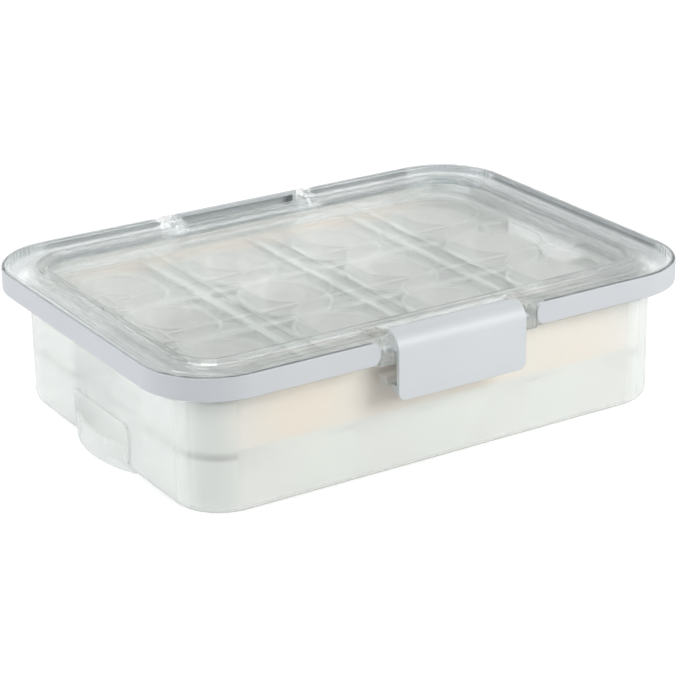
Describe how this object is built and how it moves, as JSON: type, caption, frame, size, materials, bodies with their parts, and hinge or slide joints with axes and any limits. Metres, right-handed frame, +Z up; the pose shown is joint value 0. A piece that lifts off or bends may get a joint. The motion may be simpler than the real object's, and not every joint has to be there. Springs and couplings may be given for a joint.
{
  "type": "deviled egg carrier",
  "caption": "Clear rounded box with stacked egg trays inside, a recessed clear lid with a grey grip band, and snap latches on its two long sides.",
  "frame": {"origin": "centre of the tub's flat underside, midway between the two latches", "axes": "+X along the long side, +Z up through the lid, -Y towards the front latch"},
  "size_m": [0.324, 0.2394, 0.0824],
  "materials": {
    "clear_plastic": "clear gloss",
    "tray_plastic": "translucent gloss",
    "gasket_silicone": "soft matte",
    "band_grey": "satin",
    "latch_grey": "satin"
  },
  "bodies": {
    "tub": {"base": "clear_plastic"},
    "tray_lower": {"lower_tray": "tray_plastic"},
    "tray_upper": {"upper_tray": "tray_plastic"},
    "lid": {"lid_shell": "clear_plastic", "lid_gasket": "gasket_silicone", "lid_band_left": "band_grey", "lid_band_right": "band_grey"},
    "latch_front": {"front_latch": "latch_grey"},
    "latch_rear": {"rear_latch": "latch_grey"}
  },
  "joints": [
    {"name": "lid_lift", "type": "slide", "parent": "tub", "child": "lid", "axis": [0, 0, 1], "range_m": [0, 0.17]},
    {"name": "upper_tray_lift", "type": "slide", "parent": "tub", "child": "tray_upper", "axis": [0, 0, 1], "range_m": [0, 0.119]},
    {"name": "lower_tray_lift", "type": "slide", "parent": "tub", "child": "tray_lower", "axis": [0, 0, 1], "range_m": [0, 0.068]},
    {"name": "front_latch_swing", "type": "hinge", "parent": "lid", "child": "latch_front", "pos_m": [0, -0.1095, 0.0722], "axis": [-1, 0, 0], "range_deg": [0, 85]},
    {"name": "rear_latch_swing", "type": "hinge", "parent": "lid", "child": "latch_rear", "pos_m": [0, 0.1095, 0.0722], "axis": [1, 0, 0], "range_deg": [0, 85]}
  ],
  "couplings": [
    {"joint": "upper_tray_lift", "follows": "lid_lift", "ratio": 0.7},
    {"joint": "lower_tray_lift", "follows": "lid_lift", "ratio": 0.4}
  ]
}
